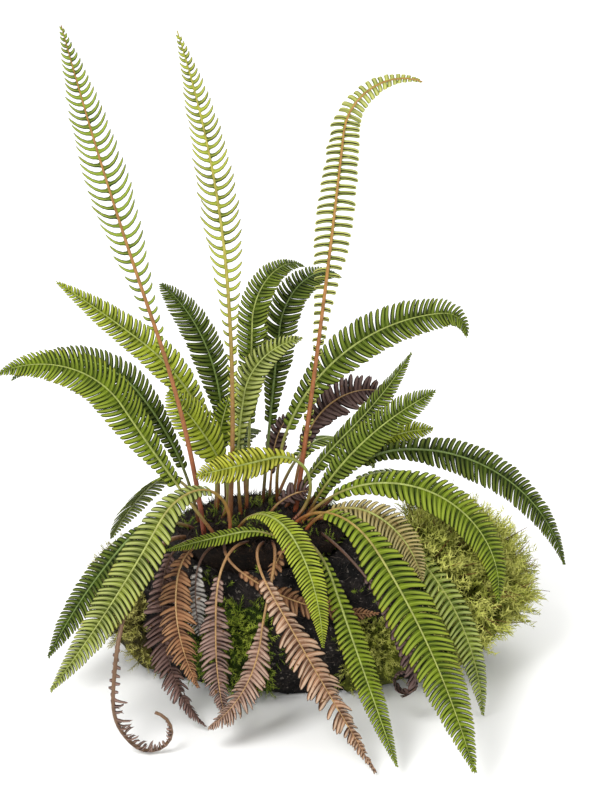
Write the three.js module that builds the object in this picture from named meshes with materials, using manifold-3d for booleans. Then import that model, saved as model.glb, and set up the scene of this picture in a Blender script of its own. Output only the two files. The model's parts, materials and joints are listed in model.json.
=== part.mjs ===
// Deer fern lifted with its mossy soil clod, free-standing on a surface.
// Millimetres, +Z up, the origin in the middle of the flat base, the viewer's side at -Y.
import * as THREE from 'three';
import { mergeVertices } from 'three/addons/utils/BufferGeometryUtils.js';
import Module from 'manifold-3d';

const wasm = await Module();
wasm.setup();

// Fit between neighbouring pieces
const clearance = 0.35;
const socketDepth = 13;
const footLift = 1;

// Soil clod: a lumpy ball of matted humus, wider than deep, widest at the waist (a share of its
// height), drawn in below it; clodTurn is the turn of its side from the top to the base
const clodCentre = [34, 22];
const clodHalfWidth = 176;
const clodHalfDepth = 92;
const clodHeight = 142;
const clodWaist = 0.42;
const clodTurn = 138;
const mossLift = 3;
const clodSegments = 30;
const clodRings = 8;

// Rhizome crown: the scaly stock that all fronds stand in
const crownCentre = [0, 4];
const crownHalfWidth = 84;
const crownHalfDepth = 58;
const crownTop = 158;
const crownDome = 0.0022;
const crownDepth = 62;
const crownSegments = 20;

// Frond build
const leafHalfThickness = 0.36;
const pinnaWidth = 4.4;
const stipeStations = 3;
const upright = { side: 1.5, ridge: 1.5, depth: 1.3 };

const degree = Math.PI / 180;

// Fronds. foot: place on the crown; heading: compass of the arch seen from above, at foot and tip
// (0 is +X, 90 the back, -90 the viewer's side); slope: climb at foot, at the bend and at the tip;
// bend: where along the length the middle slope holds; roll: turn of the blade about its rib, at
// foot and tip; bare: the stipe's share of the length; pairs: leaflet pairs.
const fertileFronds = [
  { name: 'fertile_frond_left', foot: [-53, -24], heading: [168, 165], slope: [84, 72, 76], bend: 0.42,
    length: 494, width: 41, roll: [-75, -80], bare: 0.4, pairs: 20, colour: 0x6f9a3c, stout: 1.3 },
  { name: 'fertile_frond_middle', foot: [-30, -8], heading: [155, 150], slope: [94, 86, 70], bend: 0.5,
    length: 470, width: 37, roll: [-70, -75], bare: 0.36, pairs: 20, colour: 0x9aa848, stout: 1.3 },
  { name: 'fertile_frond_right', foot: [30, 10], heading: [20, 15], slope: [82, 84, -28], bend: 0.79,
    length: 466, width: 37, roll: [-105, -85], bare: 0.36, pairs: 20, colour: 0xa8b060, stout: 1.3 },
];

const sterileFronds = [
  { name: 'frond_left_long', foot: [-42, -32], heading: [183, 180], slope: [56, 60, -30], bend: 0.55,
    length: 284, width: 44, roll: [-50, -55], bare: 0.22, colour: 0x7fa53e },
  { name: 'frond_left_dark', foot: [-59, 1], heading: [170, 170], slope: [82, 52, -50], bend: 0.5,
    length: 274, width: 34, roll: [-45, -50], bare: 0.2, colour: 0x2f5a1f },
  { name: 'frond_left_upper', foot: [-42, 20], heading: [162, 165], slope: [98, 34, 30], bend: 0.66,
    length: 280, width: 33, roll: [-60, -60], bare: 0.25, colour: 0xa6b850 },
  { name: 'frond_back_left', foot: [-34, 42], heading: [112, 145], slope: [86, 84, 25], bend: 0.38,
    length: 224, width: 34, roll: [-20, -20], bare: 0.3, colour: 0x33601f },
  { name: 'frond_inner_left', foot: [-36, 0], heading: [188, 180], slope: [110, 66, 48], bend: 0.4,
    length: 142, width: 40, roll: [-60, -60], bare: 0.3, pairs: 9, colour: 0x9cb648 },
  { name: 'frond_inner_back', foot: [-43, 27], heading: [60, 60], slope: [88, 84, 45], bend: 0.5,
    length: 108, width: 26, roll: [30, 30], bare: 0.4, pairs: 6, colour: 0x86aa42 },
  { name: 'frond_back_middle', foot: [-15, 16], heading: [66, 45], slope: [84, 88, -40], bend: 0.65,
    length: 278, width: 30, roll: [25, 30], bare: 0.3, colour: 0x5f8f34 },
  { name: 'frond_back_right', foot: [0, 28], heading: [64, 40], slope: [80, 80, -45], bend: 0.62,
    length: 270, width: 34, roll: [20, 25], bare: 0.28, colour: 0x37662a },
  { name: 'frond_inner_right', foot: [-20, 4], heading: [30, 15], slope: [96, 80, 0], bend: 0.6,
    length: 200, width: 30, roll: [50, 50], bare: 0.35, colour: 0x8fb24a },
  { name: 'frond_right_upper', foot: [14, 26], heading: [20, 15], slope: [97, -2, -100], bend: 0.86,
    length: 306, width: 40, roll: [60, 60], bare: 0.25, colour: 0x6e9b38 },
  { name: 'frond_right_folded', foot: [22, 20], heading: [14, 22], slope: [56, 42, 56], bend: 0.5,
    length: 184, width: 34, roll: [10, 10], bare: 0.12, colour: 0x3f6f28 },
  { name: 'frond_right_middle', foot: [41, 6], heading: [5, 5], slope: [64, 46, 28], bend: 0.5,
    length: 170, width: 32, roll: [60, 60], bare: 0.1, colour: 0x668f38 },
  { name: 'frond_right_short', foot: [42, 32], heading: [20, 15], slope: [52, 30, -8], bend: 0.5,
    length: 142, width: 28, roll: [50, 50], bare: 0.2, pairs: 9, colour: 0xa4b84c },
  { name: 'frond_right_far', foot: [50, 22], heading: [20, -5], slope: [66, -2, -77], bend: 0.32,
    length: 318, width: 38, roll: [45, 45], bare: 0.2, colour: 0x2c5620 },
  { name: 'frond_right_arched', foot: [36, -10], heading: [-5, -25], slope: [56, -17, -98], bend: 0.5,
    length: 266, width: 38, roll: [40, 40], bare: 0.15, colour: 0x5c8c34 },
  { name: 'frond_right_olive', foot: [40, -22], heading: [-8, -46], slope: [60, -18, -72], bend: 0.5,
    length: 152, width: 33, roll: [40, 40], bare: 0.2, pairs: 10, colour: 0xb9a56e },
  { name: 'frond_front_right', foot: [28, -18], heading: [-42, -66], slope: [52, -36, -50], bend: 0.35,
    length: 340, width: 50, roll: [20, 20], bare: 0.15, colour: 0x88ab48 },
  { name: 'frond_front_blue', foot: [45, -3], heading: [-18, -52], slope: [24, -32, -84], bend: 0.35,
    length: 274, width: 32, roll: [20, 20], bare: 0.25, colour: 0x5f9a62 },
  { name: 'frond_front_low', foot: [26, -36], heading: [-56, -66], slope: [28, -52, -40], bend: 0.3,
    length: 255, width: 28, roll: [10, 10], bare: 0.2, colour: 0x7aa23a },
  { name: 'frond_front_middle', foot: [-22, -26], heading: [-46, -66], slope: [62, -36, -86], bend: 0.5,
    length: 198, width: 30, roll: [15, 15], bare: 0.12, colour: 0x95b848 },
  { name: 'frond_front_left', foot: [-30, -36], heading: [-136, -134], slope: [104, -48, -34], bend: 0.42,
    length: 310, width: 40, roll: [-25, -25], bare: 0.2, colour: 0x9dbb66 },
  { name: 'frond_front_left_dark', foot: [-65, -9], heading: [-163, -147], slope: [36, -44, -58],
    bend: 0.35, length: 196, width: 32, roll: [-30, -30], bare: 0.2, colour: 0x335f22 },
  { name: 'frond_front_small', foot: [20, -45], heading: [-170, -170], slope: [42, -8, -13], bend: 0.4,
    length: 114, width: 19, roll: [-20, -20], bare: 0.08, pairs: 8, colour: 0x7fa83c },
  { name: 'frond_across_centre', foot: [30, -4], heading: [206, 198], slope: [145, -4, -5], bend: 0.56,
    length: 166, width: 30, roll: [-60, -60], bare: 0.42, pairs: 8, colour: 0xc2cc3e },
  { name: 'frond_rear_left', foot: [-58, 38], heading: [125, 132], slope: [38, -42, -60], bend: 0.4,
    length: 195, width: 44, roll: [0, 0], bare: 0.2, pairs: 6, colour: 0x4f7f2e },
  { name: 'frond_rear_centre', foot: [-16, 52], heading: [95, 90], slope: [45, -12, -55], bend: 0.4,
    length: 225, width: 44, roll: [0, 0], bare: 0.2, pairs: 6, colour: 0x3f7028 },
  { name: 'frond_rear_right', foot: [14, 50], heading: [65, 60], slope: [40, -15, -55], bend: 0.4,
    length: 235, width: 44, roll: [0, 0], bare: 0.2, pairs: 6, colour: 0x5a8a32 },
  { name: 'frond_rear_far_right', foot: [56, 34], heading: [38, 30], slope: [35, -18, -55], bend: 0.4,
    length: 210, width: 42, roll: [0, 0], bare: 0.2, pairs: 6, colour: 0x467629 },
];

const deadFronds = [
  { name: 'dead_frond_purple', foot: [-65, -30], heading: [-133, -16], slope: [12, -80, -42], bend: 0.42,
    length: 200, width: 38, roll: [-10, -10], bare: 0.15, colour: 0x82645f },
  { name: 'dead_frond_rust', foot: [-50, -41], heading: [-136, -40], slope: [18, -48, -54], bend: 0.38,
    length: 158, width: 36, roll: [-10, 0], bare: 0.15, colour: 0xa57350 },
  { name: 'dead_frond_grey', foot: [-15, -46], heading: [-126, -64], slope: [18, -78, -52], bend: 0.45,
    length: 182, width: 32, roll: [-10, 0], bare: 0.3, colour: 0x8c7876 },
  { name: 'dead_frond_pink', foot: [10, -48], heading: [-81, -160], slope: [13, -78, -26], bend: 0.5,
    length: 206, width: 38, roll: [0, 0], bare: 0.46, colour: 0xb99682 },
  { name: 'dead_frond_tan', foot: [0, -48], heading: [-107, -44, -30], slope: [16, -47, -54], bend: 0.4,
    length: 266, width: 42, roll: [0, 10], bare: 0.25, colour: 0xc8966e },
  { name: 'dead_frond_stub', foot: [31, -44], heading: [-125, -115], slope: [30, -30, -40], bend: 0.5,
    length: 52, width: 16, roll: [0, 0], bare: 0.35, pairs: 5, colour: 0x9a6a54 },
  { name: 'dead_frond_sideways', foot: [-34, -50], heading: [-90, 2, 2], slope: [-12, -36, 2], bend: 0.3,
    length: 168, width: 28, roll: [20, 45], bare: 0.2, colour: 0xb47864 },
  { name: 'dead_frond_curled', foot: [-72, -22], heading: [-118, -104, -176, -186],
    slope: [26, -72, -132, -350],
    bend: 0.56, length: 340, width: 14, roll: [0, 0], bare: 0.4, pairs: 8, colour: 0xa67c5c },
  { name: 'dead_frond_coiled', foot: [54, -24], heading: [-61, -15], slope: [4, -84, -400], bend: 0.76,
    length: 238, width: 24, roll: [10, 10], bare: 0.3, pairs: 8, colour: 0x5c4840 },
  { name: 'dead_frond_back', foot: [28, 42], heading: [38, 20], slope: [83, 70, -38], bend: 0.35,
    length: 168, width: 37, roll: [50, 50], bare: 0.3, colour: 0x50393c },
  { name: 'dead_frond_silver', foot: [-44, -46], heading: [-130, -60], slope: [0, -60, -70], bend: 0.5,
    length: 92, width: 26, roll: [0, 0], bare: 0.3, pairs: 6, colour: 0xb4b2ba },
  { name: 'dead_frond_between', foot: [7, 2], heading: [0, 8], slope: [62, 2], bend: 0.5,
    length: 44, width: 26, roll: [80, 80], bare: 0.3, pairs: 4, colour: 0x5c4848 },
  { name: 'dead_frond_edge', foot: [6, 40], heading: [60, 50], slope: [82, 80, 25], bend: 0.5,
    length: 84, width: 24, roll: [30, 30], bare: 0.3, pairs: 5, colour: 0x5a4238 },
];

// Moss cushions: tufted patches grown over the clod, each lying just clear of the soil
const mossCushions = [
  { name: 'moss_right', angle: [-48, 42], share: [0.15, 1], height: 17, tuft: 4, colour: 0xb4b43a, seed: 3 },
  { name: 'moss_front_right', angle: [-78, -50], share: [0.55, 1], height: 10, tuft: 3, colour: 0xa8b43c,
    seed: 7 },
  {
    name: 'moss_front', angle: [-128, -96], share: [0.42, 1], height: 8, tuft: 3, colour: 0x8fae34, seed: 11,
  },
  { name: 'moss_left', angle: [150, 222], share: [0.45, 1], height: 12, tuft: 3, colour: 0x9a9448, seed: 17 },
  { name: 'moss_back', angle: [62, 134], share: [0.5, 1], height: 12, tuft: 3, colour: 0x98a03c, seed: 23 },
];

// Small vector helpers
const add = (a, b, scale = 1) => [a[0] + b[0] * scale, a[1] + b[1] * scale, a[2] + b[2] * scale];
const cross = (a, b) => [a[1] * b[2] - a[2] * b[1], a[2] * b[0] - a[0] * b[2], a[0] * b[1] - a[1] * b[0]];
const mix = (a, b, t) => a + (b - a) * t;
const smooth = (t) => t * t * (3 - 2 * t);

function seeded(seed) {
  let state = seed;
  return () => {
    state = (state * 1664525 + 1013904223) % 4294967296;
    return state / 4294967296;
  };
}

// Closed body from corners and triangles, turned into a manifold for cutting
function solidFrom(corners, triangles) {
  const vertProperties = new Float32Array(corners.flat());
  const triVerts = new Uint32Array(triangles.flat());
  const solid = new wasm.Manifold(new wasm.Mesh({ numProp: 3, vertProperties, triVerts }));
  return solid.volume() < 0 ? solidFrom(corners, triangles.map(([a, b, c]) => [a, c, b])) : solid;
}

function largestBody(solid) {
  const bodies = solid.decompose();
  return bodies.reduce((best, body) => (body.volume() > best.volume() ? body : best));
}

function meshFrom(name, solid, colour, roughness) {
  const { vertProperties, triVerts, numProp } = solid.getMesh();
  const places = new Float32Array((vertProperties.length / numProp) * 3);
  for (let i = 0; i < places.length / 3; i += 1) {
    places.set(vertProperties.subarray(i * numProp, i * numProp + 3), i * 3);
  }
  let geometry = new THREE.BufferGeometry();
  geometry.setAttribute('position', new THREE.BufferAttribute(places, 3));
  geometry.setIndex(new THREE.BufferAttribute(new Uint32Array(triVerts), 1));
  geometry = mergeVertices(geometry, 1e-4);
  geometry.computeVertexNormals();
  const finish = { color: colour, roughness, metalness: 0, flatShading: true };
  const material = new THREE.MeshStandardMaterial(finish);
  const mesh = new THREE.Mesh(geometry, material);
  mesh.name = name;
  return mesh;
}

// Height of the crown's dome under a stipe foot
function crownHeight(x, y) {
  return crownTop - crownDome * (x * x + y * y);
}

// Value at the share t of a length: straight from stop to stop, the second stop at the bend
function course(values, bend, t) {
  const stops = { 2: [0, 1], 3: [0, bend, 1], 4: [0, bend, (1 + bend) / 2, 1] }[values.length];
  let k = 0;
  while (k < values.length - 2 && t > stops[k + 1]) {
    k += 1;
  }
  return mix(values[k], values[k + 1], (t - stops[k]) / (stops[k + 1] - stops[k]));
}

// Rib line of a frond: points, tangents and blade directions at equal steps along the length
function ribLine(frond, stations) {
  const steps = 96;
  const [x, y] = frond.foot;
  const direction = (t) => {
    const slope = course(frond.slope, frond.bend, t) * degree;
    const heading = course(frond.heading, frond.bend, t) * degree;
    return [Math.cos(slope) * Math.cos(heading), Math.cos(slope) * Math.sin(heading), Math.sin(slope)];
  };
  const points = [[x, y, crownHeight(x, y)]];
  for (let i = 0; i < steps; i += 1) {
    points.push(add(points[i], direction((i + 0.5) / steps), frond.length / steps));
  }
  return stations.map((t) => {
    const place = Math.max(0, Math.min(steps - 1e-6, t * steps));
    const whole = Math.floor(place);
    const point = add(points[whole], add(points[whole + 1], points[whole], -1), place - whole);
    const heading = course(frond.heading, frond.bend, Math.max(t, 0)) * degree;
    const roll = mix(...frond.roll, Math.max(t, 0)) * degree;
    const along = direction(Math.max(t, 0));
    const level = [-Math.sin(heading), Math.cos(heading), 0];
    const lift = cross(along, level);
    const side = add(level.map((value) => value * Math.cos(roll)), lift, Math.sin(roll));
    const start = t < 0 ? add(point, along, t * frond.length) : point;
    return { t, point: start, along, side, up: cross(along, side) };
  });
}

// Half width of a blade at the share u of its bladed length: full before the middle, a lance tip,
// which falls off sooner where taper is smaller
function bladeReach(u, { width, taper = 2 }) {
  const swell = u < 0.4 ? mix(0.35, 1, smooth(u / 0.4)) : 1 - ((u - 0.4) / 0.61) ** taper;
  return (width / 2) * Math.max(swell, 0.1);
}

// A frond in one closed body: a five-sided rib with thin leaflets grown out of both its sides
function frondSolid(frond, pinna) {
  const pairs = frond.pairs ?? 11;
  const sunk = -(socketDepth - footLift) / frond.length;
  const times = [sunk, 0];
  for (let i = 1; i < stipeStations; i += 1) {
    times.push((frond.bare * i) / stipeStations);
  }
  const bladeStart = times.length;
  for (let i = 0; i <= pairs; i += 1) {
    times.push(mix(frond.bare, 0.985, i / pairs));
  }
  const line = ribLine(frond, [...times, 1]);
  const last = times.length - 1;
  const corners = [];
  const triangles = [];
  const put = (point) => corners.push(point) - 1;
  const quad = (a, b, c, d) => triangles.push([a, b, c], [a, c, d]);

  const rings = line.slice(0, -1).map(({ t, point, side, up }) => {
    const rib = Math.max(0, Math.min(1, t / frond.bare));
    const blade = Math.max(0, (t - frond.bare) / (1 - frond.bare));
    const stout = mix(frond.stout ?? 1, 1, blade);
    const half = stout * mix(mix(upright.side, 1.1, rib), 0.55, blade);
    const ridge = stout * mix(mix(upright.ridge, 1.15, rib), 0.75, blade);
    const thick = mix(mix(upright.depth * stout, leafHalfThickness, smooth(rib)), leafHalfThickness, blade);
    const leftUp = put(add(add(point, side, half), up, thick));
    const top = put(add(point, up, thick + ridge * 0.6));
    const rightUp = put(add(add(point, side, -half), up, thick));
    const rightDown = put(add(add(point, side, -half), up, -thick));
    const leftDown = put(add(add(point, side, half), up, -thick));
    return { leftUp, top, rightUp, rightDown, leftDown, half, thick };
  });

  for (let i = 0; i < last; i += 1) {
    const a = rings[i];
    const b = rings[i + 1];
    quad(a.leftUp, a.top, b.top, b.leftUp);
    quad(a.top, a.rightUp, b.rightUp, b.top);
    quad(a.rightDown, a.leftDown, b.leftDown, b.rightDown);
    if (i < bladeStart) {
      quad(a.leftDown, a.leftUp, b.leftUp, b.leftDown);
      quad(a.rightUp, a.rightDown, b.rightDown, b.rightUp);
      continue;
    }
    const u = (i - bladeStart + 0.5) / pairs;
    pinna({ frond, u, line, i, a, b, put, quad, triangles, left: true });
    pinna({ frond, u, line, i, a, b, put, quad, triangles, left: false });
  }

  const foot = rings[0];
  triangles.push([foot.leftUp, foot.rightDown, foot.top], [foot.leftUp, foot.leftDown, foot.rightDown],
    [foot.top, foot.rightDown, foot.rightUp]);
  const end = rings[last];
  const tip = put(line[last + 1].point);
  triangles.push([end.leftUp, end.top, tip], [end.top, end.rightUp, tip], [end.rightUp, end.rightDown, tip],
    [end.rightDown, end.leftDown, tip], [end.leftDown, end.leftUp, tip]);
  return solidFrom(corners, triangles);
}

// Place on a leaflet: `out` from the rib line, `on` along it, `drop` below the blade, upper or lower face
function leafletPoint({ line, i, left }, out, on, drop, face) {
  const near = line[i];
  const sign = left ? 1 : -1;
  const spread = add(add(near.point, near.side, sign * out), near.along, on);
  return add(spread, near.up, face * leafHalfThickness - drop);
}

// Sterile leaflet: grown to the rib over its whole root, blunt, leaning to the frond's tip
function sterileLeaflet(job) {
  const { frond, u, line, i, a, b, put, quad, left } = job;
  const pitch = Math.hypot(...add(line[i + 1].point, line[i].point, -1));
  const reach = bladeReach(u, frond);
  const lean = mix(0.25, 0.7, u) * reach * 0.8;
  const droop = (frond.droop ?? 0.16) * reach;
  const tipIn = [0.92 * reach, lean + 0.12 * pitch];
  const tipOut = [reach, lean + 0.58 * pitch];
  const nearUp = put(leafletPoint(job, ...tipIn, droop, 1));
  const nearDown = put(leafletPoint(job, ...tipIn, droop, -1));
  const farUp = put(leafletPoint(job, ...tipOut, droop, 1));
  const farDown = put(leafletPoint(job, ...tipOut, droop, -1));
  if (left) {
    quad(a.leftUp, b.leftUp, farUp, nearUp);
    quad(a.leftDown, nearDown, farDown, b.leftDown);
    quad(a.leftDown, a.leftUp, nearUp, nearDown);
    quad(nearDown, nearUp, farUp, farDown);
    quad(farDown, farUp, b.leftUp, b.leftDown);
  } else {
    quad(a.rightUp, nearUp, farUp, b.rightUp);
    quad(a.rightDown, b.rightDown, farDown, nearDown);
    quad(a.rightDown, nearDown, nearUp, a.rightUp);
    quad(nearDown, farDown, farUp, nearUp);
    quad(farDown, b.rightDown, b.rightUp, farUp);
  }
}

// Fertile pinna: a root that widens onto the rib and a narrow finger bent to the frond's tip
function fertilePinna(job) {
  const { frond, u, line, i, a, b, put, triangles, left } = job;
  const pitch = Math.hypot(...add(line[i + 1].point, line[i].point, -1));
  const reach = Math.max(bladeReach(u, frond), 3.4);
  const root = Math.min(0.25 * reach, 2.6);
  const start = 0.28 * pitch;
  const lean = 0.24 * reach;
  const places = [[root, start], [0.94 * reach, start + lean], [reach, start + lean + pinnaWidth * 0.7],
    [root, start + pinnaWidth]];
  const rise = [0, 0.1 * reach, 0.1 * reach, 0];
  const ups = places.map((place, k) => put(leafletPoint(job, ...place, -rise[k], 1)));
  const downs = places.map((place, k) => put(leafletPoint(job, ...place, -rise[k], -1)));
  const [startUp, startDown] = left ? [a.leftUp, a.leftDown] : [a.rightUp, a.rightDown];
  const [endUp, endDown] = left ? [b.leftUp, b.leftDown] : [b.rightUp, b.rightDown];
  const upper = [startUp, ...ups, endUp];
  const lower = [startDown, ...downs, endDown];
  const split = [[0, 5, 4], [0, 4, 1], [1, 4, 3], [1, 3, 2]];
  const faces = split.map(([p, q, w]) => [upper[p], upper[q], upper[w]]);
  faces.push(...split.map(([p, q, w]) => [lower[p], lower[w], lower[q]]));
  for (let k = 0; k < 5; k += 1) {
    faces.push([lower[k], upper[k], upper[k + 1]], [lower[k], upper[k + 1], lower[k + 1]]);
  }
  triangles.push(...faces.map(([p, q, w]) => (left ? [p, q, w] : [p, w, q])));
}

// Soil clod: rings from the middle of its top, over the shoulder and waist and in to the base
function clodPoint(angle, share) {
  const fold = Math.sin(3 * angle + 0.8) * 0.03 + Math.sin(7 * angle) * 0.018;
  const grain = 0.014 * Math.sin(17 * angle + 23 * share) + 0.012 * Math.sin(29 * angle - 31 * share);
  const turn = share * clodTurn * degree;
  const lump = 1 + fold + grain;
  const reach = Math.sin(turn) ** 0.62 * lump;
  const lean = Math.cos(turn);
  const last = Math.cos(clodTurn * degree);
  const above = clodWaist + (1 - clodWaist) * Math.max(lean, 0) ** 0.8;
  const height = lean > 0 ? above : clodWaist * (1 - (lean / last) ** 1.15);
  const sag = 1 - 0.1 * reach * (0.5 + 0.5 * Math.sin(2 * angle + 0.4));
  const x = clodCentre[0] + clodHalfWidth * reach * Math.cos(angle);
  const y = clodCentre[1] + clodHalfDepth * reach * Math.sin(angle);
  return [x, y, share >= 1 ? 0 : clodHeight * height * sag];
}

function clodSolid(grow) {
  const corners = [[clodCentre[0], clodCentre[1], clodHeight + grow]];
  const triangles = [];
  for (let k = 1; k <= clodRings; k += 1) {
    for (let j = 0; j < clodSegments; j += 1) {
      const angle = (j / clodSegments) * 360 * degree;
      const share = k / clodRings;
      const point = clodPoint(angle, share);
      const tilt = share * clodTurn * degree;
      const out = grow * Math.sin(tilt);
      point[0] += out * Math.cos(angle);
      point[1] += out * Math.sin(angle);
      point[2] += k === clodRings ? -grow : grow * Math.cos(tilt) * 1.4;
      corners.push(point);
    }
  }
  const at = (k, j) => 1 + (k - 1) * clodSegments + (j % clodSegments);
  for (let j = 0; j < clodSegments; j += 1) {
    triangles.push([0, at(1, j), at(1, j + 1)]);
    for (let k = 1; k < clodRings; k += 1) {
      triangles.push([at(k, j), at(k + 1, j), at(k + 1, j + 1)], [at(k, j), at(k + 1, j + 1), at(k, j + 1)]);
    }
  }
  const base = corners.push([clodCentre[0], clodCentre[1], -grow]) - 1;
  for (let j = 0; j < clodSegments; j += 1) {
    triangles.push([base, at(clodRings, j + 1), at(clodRings, j)]);
  }
  return solidFrom(corners, triangles);
}

// Rhizome crown: a knobbly dome on a root stock that narrows downwards
function crownSolid(grow) {
  const rings = [0.35, 0.7, 1];
  const corners = [[crownCentre[0], crownCentre[1], crownTop + grow]];
  const triangles = [];
  const ring = (share, height, knob) => {
    for (let j = 0; j < crownSegments; j += 1) {
      const angle = (j / crownSegments) * 360 * degree;
      const wave = 1 + 0.03 * Math.sin(5 * angle) + 0.02 * Math.sin(9 * angle + 1);
      const x = crownCentre[0] + (crownHalfWidth * share * wave + grow) * Math.cos(angle);
      const y = crownCentre[1] + (crownHalfDepth * share * wave + grow) * Math.sin(angle);
      corners.push([x, y, height(x, y) + knob * Math.sin(angle * 13 + share * 40)]);
    }
  };
  rings.forEach((share) => ring(share, (x, y) => crownHeight(x, y) + grow, share < 1 ? 1.2 : 0));
  ring(0.62, () => crownTop - crownDepth - grow, 0);
  const count = rings.length + 1;
  const at = (k, j) => 1 + k * crownSegments + (j % crownSegments);
  const base = corners.push([crownCentre[0], crownCentre[1], crownTop - crownDepth - grow]) - 1;
  for (let j = 0; j < crownSegments; j += 1) {
    triangles.push([0, at(0, j), at(0, j + 1)]);
    for (let k = 0; k < count - 1; k += 1) {
      triangles.push([at(k, j), at(k + 1, j), at(k + 1, j + 1)], [at(k, j), at(k + 1, j + 1), at(k, j + 1)]);
    }
    triangles.push([base, at(count - 1, j + 1), at(count - 1, j)]);
  }
  return solidFrom(corners, triangles);
}

// Moss cushion: a lattice over the clod's own surface, domed, with a tuft at every second crossing
function mossSolid({ angle, share, height, tuft, seed }) {
  const random = seeded(seed);
  const across = Math.max(6, Math.round((angle[1] - angle[0]) / 8));
  const down = 7;
  const corners = [];
  const triangles = [];
  const place = (i, j, out) => {
    const turn = mix(...angle, i / across) * degree;
    const level = mix(...share, j / down);
    const point = clodPoint(turn, level);
    const tilt = level * clodTurn * degree;
    const flat = Math.sin(tilt) * out;
    return [point[0] + flat * Math.cos(turn), point[1] + flat * Math.sin(turn),
      Math.max(point[2] + Math.cos(tilt) * out, mossLift)];
  };
  const sheet = (depthAt) => {
    for (let j = 0; j <= down; j += 1) {
      for (let i = 0; i <= across; i += 1) {
        corners.push(place(i, j, depthAt(i, j)));
      }
    }
  };
  sheet((i, j) => {
    const wide = 1 - Math.abs((2 * i) / across - 1) ** 3;
    const high = j < down / 2 ? 1 - ((2 * j) / down - 1) ** 4 : 1 - 0.4 * ((2 * j) / down - 1) ** 2;
    const peak = (i + j) % 2 ? tuft * (0.5 + 0.5 * random()) : -tuft * 0.4 * random();
    return Math.min(wide, high) * (height + peak) - (wide && high ? 0 : 4);
  });
  sheet(() => -9);
  const row = across + 1;
  const under = row * (down + 1);
  for (let j = 0; j < down; j += 1) {
    for (let i = 0; i < across; i += 1) {
      const a = j * row + i;
      const faces = [[a, a + row, a + row + 1], [a, a + row + 1, a + 1]];
      triangles.push(...faces, ...faces.map(([p, q, r]) => [under + p, under + r, under + q]));
    }
  }
  const rim = [];
  for (let i = 0; i < across; i += 1) {
    rim.push(i);
  }
  for (let j = 0; j < down; j += 1) {
    rim.push(j * row + across);
  }
  for (let i = across; i > 0; i -= 1) {
    rim.push(down * row + i);
  }
  for (let j = down; j > 0; j -= 1) {
    rim.push(j * row);
  }
  rim.forEach((a, k) => {
    const b = rim[(k + 1) % rim.length];
    triangles.push([a, b, under + b], [a, under + b, under + a]);
  });
  return largestBody(solidFrom(corners, triangles).subtract(clodSolid(clearance)));
}

// Square hole for a stipe foot, along the stipe's own first direction
function socketSolid(frond) {
  const [low, high] = ribLine(frond, [-socketDepth / frond.length, 0]);
  const reach = upright.side * (frond.stout ?? 1) + clearance + 0.25;
  const corners = [];
  [[low, 0], [high, 10]].forEach(([place, more]) => {
    const end = add(place.point, place.along, more);
    [[1, 1.35], [-1, 1.35], [-1, -1.05], [1, -1.05]].forEach(([a, b]) => {
      corners.push(add(add(end, place.side, a * reach), place.up, b * reach));
    });
  });
  const triangles = [[0, 2, 1], [0, 3, 2], [4, 5, 6], [4, 6, 7]];
  for (let k = 0; k < 4; k += 1) {
    const next = (k + 1) % 4;
    triangles.push([k, next, 4 + next], [k, 4 + next, 4 + k]);
  }
  return solidFrom(corners, triangles);
}

const fern = new THREE.Group();
fern.name = 'deer_fern';
const fronds = [...fertileFronds, ...sterileFronds, ...deadFronds];
const sockets = fronds.map(socketSolid);
const crown = sockets.reduce((body, socket) => body.subtract(socket), crownSolid(0));
fern.add(meshFrom('rhizome_crown', largestBody(crown), 0x3a2a20, 0.95));
fern.add(meshFrom('soil_clod', largestBody(clodSolid(0).subtract(crownSolid(clearance))), 0x2e2620, 1));
const addPiece = ({ name, colour }, solid, roughness) => fern.add(meshFrom(name, solid, colour, roughness));
mossCushions.forEach((cushion) => addPiece(cushion, mossSolid(cushion), 1));
fertileFronds.forEach((frond) => addPiece(frond, frondSolid(frond, fertilePinna), 0.6));
sterileFronds.forEach((frond) => addPiece(frond, frondSolid(frond, sterileLeaflet), 0.55));
deadFronds.forEach((frond) => {
  addPiece(frond, frondSolid({ pairs: 9, droop: 0.3, ...frond }, sterileLeaflet), 0.85);
});

export default fern;
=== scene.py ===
# Deer fern lifted with its mossy clod: the looks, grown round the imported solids
import functools
import json
import math
import random

import bpy
import numpy as np
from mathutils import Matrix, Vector


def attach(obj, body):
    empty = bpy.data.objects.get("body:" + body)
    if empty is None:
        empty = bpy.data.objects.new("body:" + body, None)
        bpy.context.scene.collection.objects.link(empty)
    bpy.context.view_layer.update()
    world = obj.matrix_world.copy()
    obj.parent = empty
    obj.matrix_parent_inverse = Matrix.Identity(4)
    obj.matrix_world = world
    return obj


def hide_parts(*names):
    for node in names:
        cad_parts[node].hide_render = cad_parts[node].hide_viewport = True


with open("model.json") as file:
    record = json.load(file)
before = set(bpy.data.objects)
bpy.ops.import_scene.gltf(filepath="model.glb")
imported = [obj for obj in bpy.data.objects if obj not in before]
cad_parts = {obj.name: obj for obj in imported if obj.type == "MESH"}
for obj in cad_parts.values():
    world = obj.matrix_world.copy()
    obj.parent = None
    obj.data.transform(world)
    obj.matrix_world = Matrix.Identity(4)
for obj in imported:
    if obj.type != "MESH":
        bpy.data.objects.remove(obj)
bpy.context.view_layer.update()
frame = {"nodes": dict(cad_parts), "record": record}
scene = bpy.context.scene
mm = 0.001  # the tables below are in millimetres, the scene is in metres
fullTurn = 6.28
restLift = 0.4 * mm  # the least height over the floor of a leaflet
sprigLift = 0.3 * mm  # the same of a sprig
slotOf = {part["node"]: part["material_slot"] for part in frame["record"]["subparts"]}
print("frame loaded:", len(frame["nodes"]), "solids")


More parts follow.
